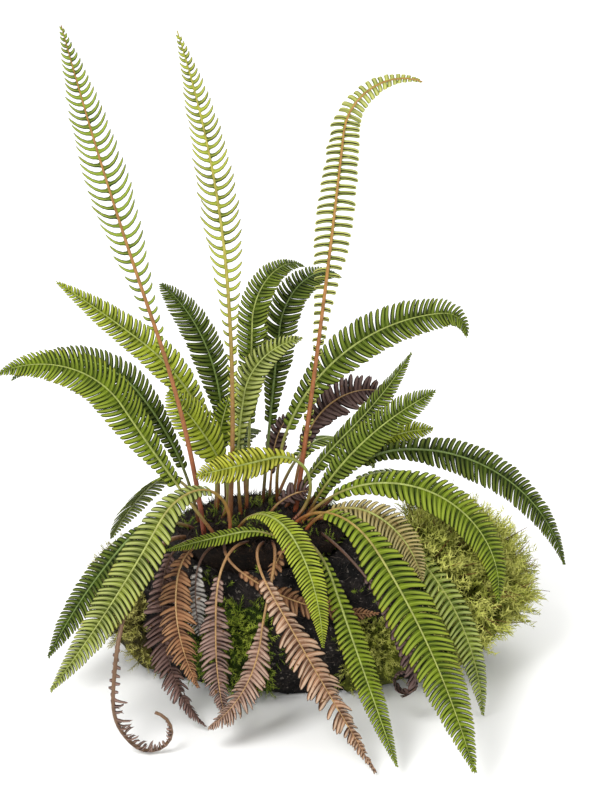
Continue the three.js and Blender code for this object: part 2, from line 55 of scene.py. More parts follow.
# Node helpers
def place(tree, kind, feeds=None, **props):
    node = tree.nodes.new(kind)
    for key, value in props.items():
        setattr(node, key, value)
    for key, value in (feeds or {}).items():
        if isinstance(value, bpy.types.NodeSocket):
            tree.links.new(value, node.inputs[key])
        else:
            node.inputs[key].default_value = value
    return node


def output(tree, kind, feeds=None, **props):
    return place(tree, kind, feeds, **props).outputs[0]


def calc(tree, operation, *values):
    return output(tree, "ShaderNodeMath", dict(enumerate(values)), operation=operation)


def times(tree, first, second):
    return calc(tree, "MULTIPLY", first, second)


def vector(tree, operation, *values):
    return output(tree, "ShaderNodeVectorMath", dict(enumerate(values)), operation=operation)


def scaled(tree, arrow, amount):
    return output(tree, "ShaderNodeVectorMath", {0: arrow, "Scale": amount}, operation="SCALE")


def named(tree, name, kind="FLOAT"):
    return place(tree, "GeometryNodeInputNamedAttribute", {"Name": name}, data_type=kind).outputs["Attribute"]


def parts(tree, arrow):
    return place(tree, "ShaderNodeSeparateXYZ", {0: arrow}).outputs


def newTree(name, inputs):
    tree = bpy.data.node_groups.new(name, "GeometryNodeTree")
    tree.interface.new_socket("Geometry", in_out="OUTPUT", socket_type="NodeSocketGeometry")
    tree.interface.new_socket("Geometry", in_out="INPUT", socket_type="NodeSocketGeometry")
    for label, kind, value in inputs:
        socket = tree.interface.new_socket(label, in_out="INPUT", socket_type="NodeSocket" + kind)
        if value is not None:
            socket.default_value = value
    return tree, tree.nodes.new("NodeGroupInput").outputs


def aboveFloor(tree, spot, lowest):
    x, y, z = parts(tree, spot)
    return output(tree, "ShaderNodeCombineXYZ", {0: x, 1: y, 2: calc(tree, "MAXIMUM", z, lowest)})


# Measures that only the growing needs
spareAttributes = {"side", "up", "along", "reach", "halfPitch", "lean", "bow", "curl", "twist", "sign",
                   "girth", "blade", "root", "shape", "grows"}


# The tree's finished geometry as a plain mesh, without the spare measures
def evaluated(name, mesh, tree, values):
    piece = bpy.data.objects.new(name, mesh)
    scene.collection.objects.link(piece)
    modifier = piece.modifiers.new("grow", "NODES")
    modifier.node_group = tree
    for item in tree.interface.items_tree:
        if item.in_out == "INPUT" and item.name in values:
            modifier[item.identifier] = values[item.name]
    finished = piece.evaluated_get(bpy.context.evaluated_depsgraph_get())
    result = bpy.data.meshes.new_from_object(finished)
    piece.modifiers.remove(modifier)
    piece.data = result
    for spare in spareAttributes & set(result.attributes.keys()):
        result.attributes.remove(result.attributes[spare])
    return piece


def finishPiece(piece, node):
    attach(piece, "root")
    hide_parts(node)


def setAttribute(mesh, name, values, domain="POINT"):
    values = np.array(values, np.float32)
    flat = values.ndim == 1
    attribute = mesh.attributes.new(name, "FLOAT" if flat else "FLOAT_VECTOR", domain)
    attribute.data.foreach_set("value" if flat else "vector", values.ravel())


# Colours: picture values 0 to 255 turned into scene colour, held back by what the studio light adds
lightShare = 0.66


def paint(red, green, blue):
    return tuple(lightShare * (value / 255) ** 2.2 for value in (red, green, blue)) + (1,)


def shaderGroup(name, inputs, outputs):
    tree = bpy.data.node_groups.new(name, "ShaderNodeTree")
    for label, kind, value in inputs:
        socket = tree.interface.new_socket(label, in_out="INPUT", socket_type="NodeSocket" + kind)
        socket.default_value = value
    for label, kind in outputs:
        tree.interface.new_socket(label, in_out="OUTPUT", socket_type="NodeSocket" + kind)
    return tree, tree.nodes.new("NodeGroupInput").outputs, tree.nodes.new("NodeGroupOutput")


def attributeOf(tree, name):
    return place(tree, "ShaderNodeAttribute", attribute_name=name).outputs


def objectSpot(tree):
    return place(tree, "ShaderNodeTexCoord").outputs["Object"]


def blend(tree, share, first, second, mode="MIX"):
    node = place(tree, "ShaderNodeMix", {0: share, 6: first, 7: second}, data_type="RGBA", blend_type=mode)
    return node.outputs[2]


def ramp(tree, value, low, high, bottom=0.0, top=1.0):
    feeds = {0: value, 1: low, 2: high, 3: bottom, 4: top}
    return output(tree, "ShaderNodeMapRange", feeds, interpolation_type="SMOOTHSTEP")


def noise(tree, where, scale, detail=3.0, roughness=0.6):
    feeds = {"Vector": where, "Scale": scale, "Detail": detail, "Roughness": roughness}
    return output(tree, "ShaderNodeTexNoise", feeds)


# Leaf look: forked side veins, pale midrib, brown freckles, dark margins that are partly the margin's own
# tone and partly painted shade in the gaps between leaflets, and a painted highlight on each leaflet's far
# half
gapShadeGreen, ripeYellow, freckleBrown, sporeBlack = (14, 18, 8), (206, 186, 60), (112, 78, 40), (26, 22, 22)
leafMarks = dict(cloud=60, grain=900, freckle=210, forks=62, slant=-13, forkShade=0.22)


def makeLeafLook():
    tree, given, out = shaderGroup("leafLook", [
        ("Blade", "Color", paint(100, 140, 50)), ("Shade", "Color", paint(45, 80, 25)),
        ("Light", "Color", paint(170, 190, 80)), ("Edge", "Float", 0.6), ("Vein", "Float", 0.6),
        ("Freckle", "Float", 0.1), ("Sori", "Float", 0.0), ("Tips", "Float", 0.3)],
        [("Colour", "Color"), ("Rough", "Float"), ("Height", "Float")])
    where = objectSpot(tree)
    spot = parts(tree, attributeOf(tree, "leaf")["Vector"])
    tone = attributeOf(tree, "tone")["Fac"]
    away = calc(tree, "ABSOLUTE", spot[1])
    cloud = noise(tree, where, leafMarks["cloud"])
    grain = noise(tree, where, leafMarks["grain"], 2)
    shade = calc(tree, "ADD", times(tree, cloud, 0.7), times(tree, tone, 0.5))
    blade = blend(tree, ramp(tree, shade, 0.35, 0.9), given["Shade"], given["Blade"])
    free = ramp(tree, spot[0], 0.16, 0.4)  # past the strip where neighbouring leaflets are grown together
    paintedHighlight = calc(tree, "MULTIPLY_ADD", spot[1], -0.6, away)  # painted highlight: lit on the far half and, below, towards the leaflet's outer part
    paintedHighlight = times(tree, ramp(tree, paintedHighlight, 0.0, 0.9, 1, 0), ramp(tree, spot[0], 0.1, 0.7, 0.15, 0.75))
    blade = blend(tree, paintedHighlight, blade, given["Light"])
    forks = times(tree, away, leafMarks["slant"])
    forks = calc(tree, "SINE", calc(tree, "MULTIPLY_ADD", spot[0], leafMarks["forks"], forks))
    forks = times(tree, ramp(tree, forks, 0.2, 1), ramp(tree, away, 0.08, 0.3))
    blade = blend(tree, times(tree, forks, leafMarks["forkShade"]), blade, given["Shade"])
    midrib = times(tree, ramp(tree, away, 0.03, 0.14, 1, 0), given["Vein"])
    blade = blend(tree, midrib, blade, given["Light"])
    ripe = times(tree, ramp(tree, spot[0], 0.7, 1), ramp(tree, cloud, 0.4, 0.65))
    blade = blend(tree, times(tree, ripe, given["Tips"]), blade, paint(*ripeYellow))
    # Dark margin and tip outline: partly the margin's own darker tone, partly painted shade in the gaps
    # between neighbouring leaflets, blended towards the near-black green
    edge = calc(tree, "MAXIMUM", ramp(tree, away, 0.62, 0.92), ramp(tree, spot[0], 0.93, 1))
    edge = times(tree, times(tree, edge, free), given["Edge"])
    blade = blend(tree, edge, blade, blend(tree, 0.85, given["Shade"], paint(*gapShadeGreen)))
    speck = noise(tree, where, leafMarks["freckle"], 4)
    brown = times(tree, ramp(tree, speck, 0.6, 0.7), given["Freckle"])
    blade = blend(tree, brown, blade, paint(*freckleBrown))
    under = ramp(tree, spot[2], -0.5, -0.2, 1, 0)
    blade = blend(tree, times(tree, under, 0.3), blade, given["Light"])
    strip = times(tree, ramp(tree, away, 0.35, 0.22), ramp(tree, spot[0], 0.97, 0.9))
    strip = times(tree, times(tree, strip, under), given["Sori"])
    strip = times(tree, strip, ramp(tree, attributeOf(tree, "share")["Fac"], 0.8, 0.86, 1, 0))
    spores = times(tree, strip, ramp(tree, grain, 0.25, 0.4))
    blade = blend(tree, spores, blade, paint(*sporeBlack))
    rough = calc(tree, "MULTIPLY_ADD", cloud, 0.25, 0.5)
    height = calc(tree, "ADD", times(tree, forks, -0.5), times(tree, grain, 0.35))
    for label, value in (("Colour", blade), ("Rough", rough), ("Height", height)):
        tree.links.new(value, out.inputs[label])
    return tree


def newMaterial(name):
    material = bpy.data.materials.new(name)
    material.use_nodes = True
    tree = material.node_tree
    return material, tree, tree.nodes["Principled BSDF"]


# Bump in metres and gloss of each kind of surface
surfaces = dict(leaf=(0.0003, 0.12), rib=(0.0004, 0.5), crumb=(0.0015, 0.2), growth=(0.0003, 0.25))


def joinShader(tree, shader, colour, rough, height, kind):
    depth, gloss = surfaces[kind]
    shader.inputs["Specular IOR Level"].default_value = gloss
    tree.links.new(colour, shader.inputs["Base Color"])
    tree.links.new(rough, shader.inputs["Roughness"])
    bump = place(tree, "ShaderNodeBump", {"Height": height, "Distance": depth, "Strength": 0.6})
    tree.links.new(bump.outputs[0], shader.inputs["Normal"])


# edge is the strength of the dark margins, which are partly painted shade between leaflets
def leafPaint(blade, shade, light, edge=1.0, freckle=0.1, tips=0.3, sori=0.0):
    return dict(Blade=paint(*blade), Shade=paint(*shade), Light=paint(*light), Edge=edge, Freckle=freckle,
                Tips=tips, Sori=sori)


def witheredPaint(blade, shade, light):
    return leafPaint(blade, shade, light, freckle=1.0, tips=0.0)


leafLook = makeLeafLook()
leafPaints = {
    "midGreen": leafPaint(blade=(112, 132, 26), shade=(56, 74, 8), light=(164, 180, 66)),
    "leafGreen": leafPaint(blade=(90, 110, 26), shade=(46, 60, 8), light=(144, 160, 66), tips=0.15),
    "deepGreen": leafPaint(blade=(66, 86, 18), shade=(32, 46, 8), light=(120, 134, 56), tips=0.1),
    "paleGreen": leafPaint(blade=(136, 148, 56), shade=(68, 80, 20), light=(198, 206, 124)),
    "limeGreen": leafPaint(blade=(148, 162, 36), shade=(74, 88, 10), light=(198, 210, 82)),
    "yellowGreen": leafPaint(blade=(170, 176, 40), shade=(92, 100, 14), light=(214, 212, 90)),
    "blueGreen": leafPaint(blade=(150, 166, 66), shade=(80, 98, 30), light=(200, 212, 124), tips=0.15),
    "oliveTan": leafPaint(blade=(168, 150, 90), shade=(90, 80, 34),
                          light=(214, 198, 140), edge=0.9, freckle=0.6),
    "spikeGreen": leafPaint(blade=(132, 156, 50), shade=(48, 70, 16), light=(178, 194, 84)),
    "spikeYellow": leafPaint(blade=(164, 178, 58), shade=(64, 82, 18), light=(206, 210, 100)),
    "sporeSide": leafPaint(blade=(198, 206, 92), shade=(132, 150, 48),
                           light=(228, 230, 140), edge=0.1, sori=1.0),
    "witheredPlum": witheredPaint(blade=(136, 104, 96), shade=(62, 44, 42), light=(176, 144, 134)),
    "witheredRust": witheredPaint(blade=(160, 110, 76), shade=(82, 52, 38), light=(194, 148, 108)),
    "witheredGrey": witheredPaint(blade=(150, 118, 104), shade=(64, 46, 44), light=(194, 164, 150)),
    "witheredSilver": witheredPaint(blade=(176, 168, 160), shade=(50, 42, 40), light=(232, 226, 216)),
    "witheredTan": witheredPaint(blade=(188, 140, 106), shade=(92, 60, 44), light=(230, 198, 168)),
    "witheredPink": witheredPaint(blade=(180, 142, 122), shade=(98, 68, 56), light=(216, 186, 164)),
    "witheredDark": witheredPaint(blade=(100, 76, 72), shade=(48, 34, 34), light=(142, 118, 112)),
}


@functools.cache
def leafMaterial(name):
    material, tree, shader = newMaterial("leaf_" + name)
    look = place(tree, "ShaderNodeGroup", leafPaints[name], node_tree=leafLook).outputs
    joinShader(tree, shader, look["Colour"], look["Rough"], look["Height"], "leaf")
    return material


# Rib look: runs from the stipe's colour at the foot to the rib's colour in the blade
ribMarks = dict(cloud=130, fibre=(900, 900, 90), barkBrown=(84, 48, 26), fibreBrown=(70, 44, 24))
ribPaints = {
    "greenRib": dict(foot=(158, 88, 48), middle=(158, 140, 66), tip=(176, 190, 92), turn=(0.12, 0.3)),
    "darkRib": dict(foot=(118, 66, 42), middle=(120, 116, 56), tip=(124, 150, 66), turn=(0.1, 0.28)),
    "redRib": dict(foot=(172, 92, 50), middle=(186, 148, 72), tip=(180, 190, 92), turn=(0.16, 0.5)),
    "orangeRib": dict(foot=(160, 80, 54), middle=(176, 108, 56), tip=(190, 134, 68), turn=(0.25, 0.6)),
    "oliveRib": dict(foot=(146, 92, 56), middle=(168, 126, 62), tip=(196, 186, 76), turn=(0.25, 0.55)),
    "goldRib": dict(foot=(166, 86, 52), middle=(182, 112, 60), tip=(200, 148, 72), turn=(0.3, 0.6)),
    "strawRib": dict(foot=(116, 74, 52), middle=(184, 134, 84), tip=(208, 164, 104), turn=(0.1, 0.35)),
    "barkRib": dict(foot=(132, 92, 60), middle=(150, 112, 76), tip=(134, 100, 70), turn=(0.1, 0.5)),
    "umberRib": dict(foot=(88, 60, 46), middle=(112, 78, 58), tip=(104, 76, 60), turn=(0.1, 0.5)),
}


@functools.cache
def ribMaterial(name):
    look = ribPaints[name]
    material, tree, shader = newMaterial("rib_" + name)
    where = objectSpot(tree)
    share = attributeOf(tree, "share")["Fac"]
    cloud = noise(tree, where, ribMarks["cloud"])
    fibre = noise(tree, vector(tree, "MULTIPLY", where, ribMarks["fibre"]), 1, 3)
    start, end = look["turn"]
    colour = blend(tree, ramp(tree, share, 0, start), paint(*look["foot"]), paint(*look["middle"]))
    colour = blend(tree, ramp(tree, share, start, end), colour, paint(*look["tip"]))
    stain = ramp(tree, cloud, 0.35, 0.75, 0, 0.35)
    colour = blend(tree, stain, colour, paint(*ribMarks["barkBrown"]), "MULTIPLY")
    threads = ramp(tree, fibre, 0.4, 0.7, 0, 0.3)
    colour = blend(tree, threads, colour, paint(*ribMarks["fibreBrown"]))
    joinShader(tree, shader, colour, ramp(tree, cloud, 0.2, 0.8, 0.35, 0.6), fibre, "rib")
    return material


# One leaflet of each kind, flat in its own measure: x along it, y across it, z above the blade.
# An outline's pairs are the share of its length and the half width there.
leafletKinds = {
    "comb": dict(arch=0.18, groove=0.06, outline=[
        (0, 1.08), (0.16, 1.05), (0.32, 0.96), (0.48, 0.92), (0.66, 0.91), (0.84, 0.84), (0.95, 0.6),
        (1, 0.1)]),
    "broad": dict(arch=0.2, groove=0.06, outline=[
        (0, 1.08), (0.18, 1.06), (0.34, 1.0), (0.52, 0.96), (0.7, 0.94), (0.86, 0.86), (0.96, 0.62),
        (1, 0.1)]),
    "blunt": dict(arch=0.22, groove=0.06, outline=[
        (0, 1.06), (0.14, 1.0), (0.28, 0.9), (0.5, 0.89), (0.74, 0.89), (0.88, 0.8), (0.96, 0.56), (1, 0.1)]),
    "finger": dict(arch=0.28, groove=0.1, outline=[
        (0, 2.6), (0.07, 1.5), (0.15, 1.04), (0.35, 0.94), (0.6, 0.98), (0.82, 0.98), (0.95, 0.76),
        (1, 0.1)]),
    "withered": dict(arch=0.32, groove=0.16, outline=[
        (0, 1.08), (0.12, 1.08), (0.28, 1.18), (0.42, 1.08), (0.6, 1.2), (0.78, 1.04), (0.92, 0.68),
        (1, 0.06)]),
    "hook": dict(arch=0.3, groove=0.1, outline=[(0, 1.4), (0.2, 0.8), (0.45, 0.6), (0.75, 0.45), (1, 0.04)]),
}
across = (-1, -0.52, 0, 0.52, 1)  # where a leaflet's corners lie over its width


def leafletObject(name, kind):
    points, marks, faces = [], [], []

    def put(u, v, w, face):
        roof = 1 - v * v
        rise = (kind["arch"] * w * roof - (kind["groove"] * w if v == 0 else 0)) * min(1, u / 0.3)
        points.append((u, v * w, rise))
        marks.append((u, v, face * math.sqrt(roof)))
        return len(points) - 1

    rows = []
    for u, w in kind["outline"][:-1]:
        top = [put(u, v, w, 1) for v in across]
        rows.append((top, put(u, 0, w, -1)))
    for (top, keel), (nextTop, nextKeel) in zip(rows, rows[1:]):
        for k in range(4):
            faces.append((top[k], nextTop[k], nextTop[k + 1], top[k + 1]))
        faces.append((top[0], keel, nextKeel, nextTop[0]))
        faces.append((keel, top[4], nextTop[4], nextKeel))
    top, keel = rows[-1]
    tip = put(1, 0, kind["outline"][-1][1], 0)
    faces += [(top[k], tip, top[k + 1]) for k in range(4)]
    faces += [(top[0], keel, tip), (keel, top[4], tip)]
    top, keel = rows[0]
    faces += [(top[0], top[1], keel), (top[1], top[2], keel), (top[2], top[3], keel), (top[3], top[4], keel)]
    mesh = bpy.data.meshes.new(name)
    mesh.from_pydata(points, [], faces)
    setAttribute(mesh, "shape", points)
    setAttribute(mesh, "leaf", marks)
    return bpy.data.objects.new(name, mesh)


leaflets = {name: leafletObject("leaflet_" + name, kind) for name, kind in leafletKinds.items()}


# Frond tree: a tapering rib along the strand, a bent leaflet at every root point
def makeFrondTree():
    tree, given = newTree("growFrond", [
        ("Leaflet", "Object", None), ("Thickness", "Float", 0.0002), ("Falcate", "Float", 1.7),
        ("Rib sides", "Int", 8), ("Leaf", "Material", None), ("Rib", "Material", None)])
    split = place(tree, "GeometryNodeSeparateGeometry", {0: given["Geometry"], 1: named(tree, "blade")})
    strand = output(tree, "GeometryNodeMeshToCurve", {0: split.outputs[1]})
    ring = place(tree, "GeometryNodeCurvePrimitiveCircle", {"Resolution": given["Rib sides"], "Radius": 1.0})
    rib = place(tree, "GeometryNodeCurveToMesh", {
        "Curve": strand, "Profile Curve": ring.outputs[0], "Scale": named(tree, "girth"), "Fill Caps": True})
    rib = output(tree, "GeometryNodeSetMaterial", {0: rib.outputs[0], "Material": given["Rib"]})
    position = output(tree, "GeometryNodeInputPosition")
    roots = place(tree, "GeometryNodeStoreNamedAttribute", {
        0: split.outputs[0], "Name": "root", "Value": position}, data_type="FLOAT_VECTOR", domain="POINT")
    pattern = place(tree, "GeometryNodeObjectInfo", {"Object": given["Leaflet"]}).outputs["Geometry"]
    leaves = place(tree, "GeometryNodeInstanceOnPoints", {"Points": roots.outputs[0], "Instance": pattern})
    leaves = output(tree, "GeometryNodeRealizeInstances", {0: leaves.outputs[0]})

    u, wide, rise = parts(tree, named(tree, "shape", "FLOAT_VECTOR"))
    face = parts(tree, named(tree, "leaf", "FLOAT_VECTOR"))[2]
    reach, half, curl = named(tree, "reach"), named(tree, "halfPitch"), named(tree, "curl")
    turn = times(tree, curl, u)  # the leaflet bends down along an arc of this angle
    radius = calc(tree, "DIVIDE", reach, curl)
    out = times(tree, radius, calc(tree, "SINE", turn))
    drop = times(tree, radius, calc(tree, "SUBTRACT", 1, calc(tree, "COSINE", turn)))
    sweep = times(tree, calc(tree, "POWER", u, given["Falcate"]), named(tree, "lean"))
    sweep = calc(tree, "ADD", sweep, times(tree, u, named(tree, "bow")))
    on = calc(tree, "MULTIPLY_ADD", sweep, reach, times(tree, wide, half))
    twist = times(tree, times(tree, wide, u), named(tree, "twist"))
    high = times(tree, calc(tree, "ADD", rise, twist), half)
    high = calc(tree, "ADD", high, times(tree, face, given["Thickness"]))
    high = calc(tree, "SUBTRACT", high, drop)
    outward = scaled(tree, named(tree, "side", "FLOAT_VECTOR"), times(tree, out, named(tree, "sign")))
    onward = scaled(tree, named(tree, "along", "FLOAT_VECTOR"), on)
    upward = scaled(tree, named(tree, "up", "FLOAT_VECTOR"), high)
    spot = vector(tree, "ADD", named(tree, "root", "FLOAT_VECTOR"), vector(tree, "ADD", outward, onward))
    spot = aboveFloor(tree, vector(tree, "ADD", spot, upward), restLift)
    leaves = output(tree, "GeometryNodeSetPosition", {0: leaves, "Position": spot})
    mirrored = place(tree, "FunctionNodeCompare", {0: named(tree, "sign"), 1: 0.0}, operation="LESS_THAN")
    leaves = output(tree, "GeometryNodeFlipFaces", {0: leaves, 1: mirrored.outputs[0]})
    leaves = output(tree, "GeometryNodeSetMaterial", {0: leaves, "Material": given["Leaf"]})
    both = place(tree, "GeometryNodeJoinGeometry")
    tree.links.new(rib, both.inputs[0])
    tree.links.new(leaves, both.inputs[0])
    smooth = place(tree, "GeometryNodeSetShadeSmooth", {0: both.outputs[0]})
    place(tree, "NodeGroupOutput", {0: smooth.outputs[0]})
    return tree


frondTree = makeFrondTree()

# The crown's dome carries every stipe's foot; every frond's line is walked in equal steps
crownTop, crownDome, footDepth = 158, 0.0022, 12
lineSteps, ribStations, ribEnd, lastPair = 96, 48, 0.995, 0.985
widestAt, leafletLift = 0.4, 0.3


def mix(first, last, t):
    return first + (last - first) * t


def smoothStep(t):
    return t * t * (3 - 2 * t)


# A value at the share t of the length, from two to four stops of which the second lies at the bend
def course(values, bend, t):
    stops = {2: (0, 1), 3: (0, bend, 1), 4: (0, bend, (1 + bend) / 2, 1)}[len(values)]
    k = 0
    while k < len(values) - 2 and t > stops[k + 1]:
        k += 1
    return mix(values[k], values[k + 1], (t - stops[k]) / (stops[k + 1] - stops[k]))


# Rib line of a frond, the same rule and values as its solid
def ribLine(frond, stations):
    x, y = frond["foot"]

    def direction(t):
        slope = math.radians(course(frond["slope"], frond["bend"], t))
        heading = math.radians(course(frond["heading"], frond["bend"], t))
        level = math.cos(slope)
        return np.array([level * math.cos(heading), level * math.sin(heading), math.sin(slope)])

    line = [np.array([x, y, crownTop - crownDome * (x * x + y * y)])]
    for i in range(lineSteps):
        line.append(line[i] + direction((i + 0.5) / lineSteps) * frond["length"] / lineSteps)
    result = []
    for t in stations:
        spot = max(0, min(lineSteps - 1e-6, t * lineSteps))
        whole = int(spot)
        point = line[whole] + (line[whole + 1] - line[whole]) * (spot - whole)
        later = max(t, 0)
        heading = math.radians(course(frond["heading"], frond["bend"], later))
        roll = math.radians(mix(*frond["roll"], later))
        along = direction(later)
        level = np.array([-math.sin(heading), math.cos(heading), 0])
        side = level * math.cos(roll) + np.cross(along, level) * math.sin(roll)
        if t < 0:
            point = point + along * t * frond["length"]
        result.append(dict(t=t, point=point, along=along, side=side, up=np.cross(along, side)))
    return result


# Length of the leaflets at the share u of the blade
def bladeReach(u, frond):
    swell = 1 - ((max(u, widestAt) - widestAt) / 0.61) ** frond.get("taper", 2)
    if u < widestAt:
        swell = mix(0.35, 1, smoothStep(u / widestAt))
    return frond["width"] / 2 * max(swell, 0.1)


# Root points of the leaflets along both sides, each with its own small irregularity
def leafletRoots(frond, habit, draw):
    roots = []
    t = frond["bare"]
    tight = habit["spacing"]
    while t < lastPair:
        u = (t - frond["bare"]) / (1 - frond["bare"])
        pitch = tight * mix(1, habit["tipPitch"], u ** 1.5)
        for sign in (1, -1):
            if draw.random() < habit["lost"]:
                continue
            reach = bladeReach(min(u + 0.01, 1), frond) * draw.uniform(*habit["vary"])
            shift = 0.2 * pitch * sign + draw.uniform(-0.06, 0.06) * pitch
            roots.append(dict(
                t=min(t + (0.5 * pitch + shift) / frond["length"], ribEnd), sign=sign, reach=reach,
                halfPitch=(habit["finger"] or pitch) / 2 * draw.uniform(0.96, 1.06),
                lean=mix(*habit["lean"], u) + draw.uniform(-1, 1) * habit["stray"],
                bow=habit["bow"] + draw.uniform(-0.04, 0.04),
                curl=draw.uniform(*habit["curl"]), twist=draw.uniform(-1, 1) * habit["twist"]))
        t += pitch / frond["length"]
    return roots


# Tiny ear-like pinnae down the stipe of a fertile frond
earPinna = dict(reach=(4.2, 5.4), halfPitch=(2.4, 3), gap=(4.5, 6.5),
                bend=dict(lean=0.35, bow=0.1, curl=0.5, twist=0.2))


def earRoots(frond, draw):
    low, high = frond["ears"]
    roots = []
    t, sign = low, 1
    while t < high:
        roots.append(dict(t=t, sign=sign, reach=draw.uniform(*earPinna["reach"]),
                          halfPitch=draw.uniform(*earPinna["halfPitch"]), **earPinna["bend"]))
        t += draw.uniform(*earPinna["gap"]) / frond["length"]
        sign = -sign
    return roots


# The rib as a line and every leaflet's root as a loose point, with what each needs to grow
def frondStrand(name, frond, habit, roots, draw):
    stations = [-footDepth / frond["length"], 0] + [i / ribStations for i in range(1, ribStations)] + [ribEnd]
    rib = ribLine(frond, stations)
    thick, middle, fine = habit["girth"]
    points, rows = [], []
    for station in rib:
        t = station["t"]
        low = max(0, min(1, t / frond["bare"]))
        high = max(0, (t - frond["bare"]) / (1 - frond["bare"]))
        points.append(station["point"] * mm)
        rows.append(dict(station, girth=mix(mix(thick, middle, low), fine, high) * mm, share=max(t, 0)))
    for root, station in zip(roots, ribLine(frond, [root["t"] for root in roots])):
        points.append(station["point"] * mm + station["up"] * leafletLift * mm)
        rows.append({**station, **root, "blade": 1, "share": root["t"], "reach": root["reach"] * mm,
                     "halfPitch": root["halfPitch"] * mm, "tone": draw.random()})
    mesh = bpy.data.meshes.new(name)
    mesh.from_pydata(points, [(i, i + 1) for i in range(len(rib) - 1)], [])
    for key in ("blade", "girth", "share", "reach", "halfPitch", "lean", "bow", "curl", "twist", "sign",
                "tone"):
        setAttribute(mesh, key, [row.get(key, 0) for row in rows])
    for key in ("side", "up", "along"):
        setAttribute(mesh, key, [row[key] for row in rows])
    return mesh


# How each kind of frond grows. Pairs run from the first leaflet to the last, or are the least and the most;
# girth is the rib's radius at the foot, at the first leaflet and at the tip.
habits = {
    "sterile": dict(
        leaflet="comb", stray=0.04, spacing=7.1, tipPitch=0.5, finger=0, lean=(0.2, 0.6), bow=0.04,
        curl=(0.3, 0.5), twist=0.14, lost=0, vary=(0.96, 1.03), girth=(1.8, 1.4, 0.45), falcate=1.6,
        thickness=0.2),
    "fertile": dict(
        leaflet="finger", stray=0.06, spacing=9.6, tipPitch=0.5, finger=3.6, lean=(0.7, 0.85), bow=-0.16,
        curl=(0.2, 0.6), twist=0.2, lost=0, vary=(0.94, 1.04), girth=(2.5, 1.9, 0.55), falcate=2.2,
        thickness=0.22),
    "dead": dict(
        leaflet="withered", stray=0.2, spacing=6.2, tipPitch=0.55, finger=0, lean=(0.25, 0.65), bow=0.05,
        curl=(0.2, 1.2), twist=0.5, lost=0.02, vary=(0.84, 1.12), girth=(1.5, 1.15, 0.45), falcate=1.6,
        thickness=0.18),
    "bareStalk": dict(
        leaflet="hook", stray=0.15, spacing=8, tipPitch=0.4, finger=4.4, lean=(0.1, 0.4), bow=0,
        curl=(1.8, 3.4), twist=0.8, lost=0.08, vary=(1.5, 2.6), girth=(2.3, 2.1, 1.5), falcate=1.5,
        thickness=0.25),
}

# One frond a row, millimetres and degrees: foot on the crown, heading and slope of the rib's line from foot
# to tip with the bend at that share of its length, roll of the blade about it, bare share below the blade.
# A greater taper keeps the blade wide for longer.
usualFrond = {  # what holds where a frond's own row doesn't say
    "sterile": dict(bend=0.5, bare=0.2, rib="greenRib"),
    "dead": dict(bend=0.5, bare=0.3, roll=(0, 0), rib="strawRib"),
}

fertileFronds = {
    "fertile_frond_left": dict(
        foot=(-53, -24), heading=(168, 165), slope=(84, 72, 76), bend=0.42, length=494, width=41,
        roll=(-75, -80), bare=0.4, ears=(0.24, 0.4), leaf="spikeGreen", rib="orangeRib"),
    "fertile_frond_middle": dict(
        foot=(-30, -8), heading=(155, 150), slope=(94, 86, 70), bend=0.5, length=470, width=37,
        roll=(-70, -75), bare=0.36, ears=(0.14, 0.36), leaf="spikeYellow", rib="oliveRib"),
    "fertile_frond_right": dict(
        foot=(30, 10), heading=(20, 15), slope=(82, 84, -28), bend=0.79, length=466, width=37,
        roll=(-105, -85), bare=0.36, ears=(0.12, 0.36), leaf="sporeSide", rib="goldRib", spacing=8.6,
        lean=(-0.12, -0.2), bow=0.1, finger=4.2),
}

